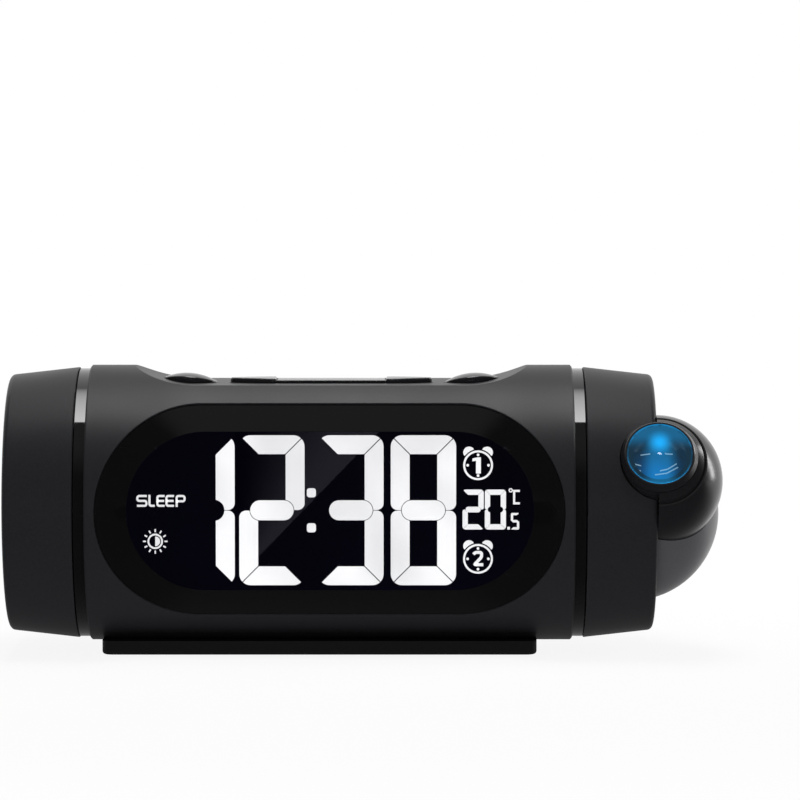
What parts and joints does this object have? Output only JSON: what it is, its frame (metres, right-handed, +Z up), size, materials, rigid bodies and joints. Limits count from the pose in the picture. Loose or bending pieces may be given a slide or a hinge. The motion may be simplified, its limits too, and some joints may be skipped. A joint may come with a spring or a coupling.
{
  "type": "projection alarm clock",
  "caption": "Round-bodied bedside alarm clock on a low base, with a large lit display, top keys and a turning projector turret on its right end.",
  "frame": {"origin": "on the resting surface, under the anti-slip pad, straight below the middle of the barrel", "axes": "+X to the right along the barrel, towards the projector; -Y is the front with the display; +Z up"},
  "size_m": [0.1908, 0.0765, 0.0768],
  "materials": {
    "satin_black_abs": "fine satin texture, moulded",
    "gloss_black_abs": "polished",
    "smoked_acrylic": "clear, smoked",
    "lcd_glass": "black mask glass",
    "lit_white": "lit white",
    "white_abs": "moulded",
    "led_white": "moulded",
    "circuit_board": "solder mask",
    "zinc_steel": "zinc plated",
    "chip_epoxy": "moulded",
    "tin_can": "tinned sheet",
    "key_abs": "satin",
    "grille_cloth": "woven",
    "paper_cone": "pressed",
    "ferrite": "sintered",
    "dome_grey_abs": "satin",
    "ball_black_abs": "polished",
    "led_blue": "moulded",
    "clear_acrylic": "polished",
    "lens_acrylic": "polished",
    "base_black_abs": "satin",
    "black_rubber": "moulded",
    "cell_jacket": "printed foil jacket, plain",
    "nickel_steel": "nickel plated"
  },
  "bodies": {
    "clock": {"front_shell": "satin_black_abs", "rear_shell": "satin_black_abs", "left_cap": "satin_black_abs", "display_bezel": "gloss_black_abs", "left_collar": "gloss_black_abs", "right_collar": "gloss_black_abs", "display_window": "smoked_acrylic", "display_glass": "lcd_glass", "display_segments": "lit_white", "light_box": "white_abs", "backlight_leds": "led_white", "main_board": "circuit_board", "key_board": "circuit_board", "board_standoffs": "white_abs", "main_board_screws": "zinc_steel", "key_board_screws": "zinc_steel", "case_screws": "zinc_steel", "base_screws": "zinc_steel", "turret_screws": "zinc_steel", "turret_washer": "zinc_steel", "clock_chip": "chip_epoxy", "radio_module": "tin_can", "temperature_sensor": "chip_epoxy", "key_switches": "chip_epoxy", "grille_cloth": "grille_cloth", "speaker_basket": "tin_can", "speaker_cone": "paper_cone", "speaker_magnet": "ferrite", "base_plate": "base_black_abs", "anti_slip_pad": "black_rubber", "battery_cells": "cell_jacket", "battery_springs": "nickel_steel", "battery_contacts": "nickel_steel", "power_socket": "chip_epoxy", "power_socket_pin": "nickel_steel"},
    "turret": {"turret_plate": "satin_black_abs", "turret_cap": "satin_black_abs", "projector_dome": "dome_grey_abs", "ball_front": "ball_black_abs", "ball_rear": "ball_black_abs", "lamp_board": "circuit_board", "projector_lamp": "led_blue", "condenser_lens": "clear_acrylic", "time_film": "lcd_glass"},
    "focus": {"focus_ring": "ball_black_abs", "projector_lens": "lens_acrylic"},
    "door": {"battery_door": "satin_black_abs"},
    "left_oval": {"left_oval_key": "key_abs"},
    "left_wing": {"left_wing_key": "key_abs"},
    "centre": {"centre_key": "key_abs"},
    "right_wing": {"right_wing_key": "key_abs"},
    "right_oval": {"right_oval_key": "key_abs"}
  },
  "joints": [
    {"name": "turret_turn", "type": "hinge", "parent": "clock", "child": "turret", "pos_m": [0.0678, 0, 0.0397], "axis": [-1, 0, 0], "range_deg": [-30, 150]},
    {"name": "focus_turn", "type": "hinge", "parent": "turret", "child": "focus", "pos_m": [0.0868, -0.0202, 0.047], "axis": [0, -0.8704, 0.4924], "range_deg": [-60, 60]},
    {"name": "left_oval_press", "type": "slide", "parent": "clock", "child": "left_oval", "axis": [0, 0, -1], "range_m": [0, 0.001], "stiffness_N_per_m": 600, "springref_m": -0.0006},
    {"name": "left_wing_press", "type": "slide", "parent": "clock", "child": "left_wing", "axis": [0, 0, -1], "range_m": [0, 0.001], "stiffness_N_per_m": 600, "springref_m": -0.0006},
    {"name": "centre_press", "type": "slide", "parent": "clock", "child": "centre", "axis": [0, 0, -1], "range_m": [0, 0.001], "stiffness_N_per_m": 600, "springref_m": -0.0006},
    {"name": "right_wing_press", "type": "slide", "parent": "clock", "child": "right_wing", "axis": [0, 0, -1], "range_m": [0, 0.001], "stiffness_N_per_m": 600, "springref_m": -0.0006},
    {"name": "right_oval_press", "type": "slide", "parent": "clock", "child": "right_oval", "axis": [0, 0, -1], "range_m": [0, 0.001], "stiffness_N_per_m": 600, "springref_m": -0.0006},
    {"name": "door_pull", "type": "slide", "parent": "clock", "child": "door", "axis": [0, 1, 0], "range_m": [0, 0.02]}
  ]
}
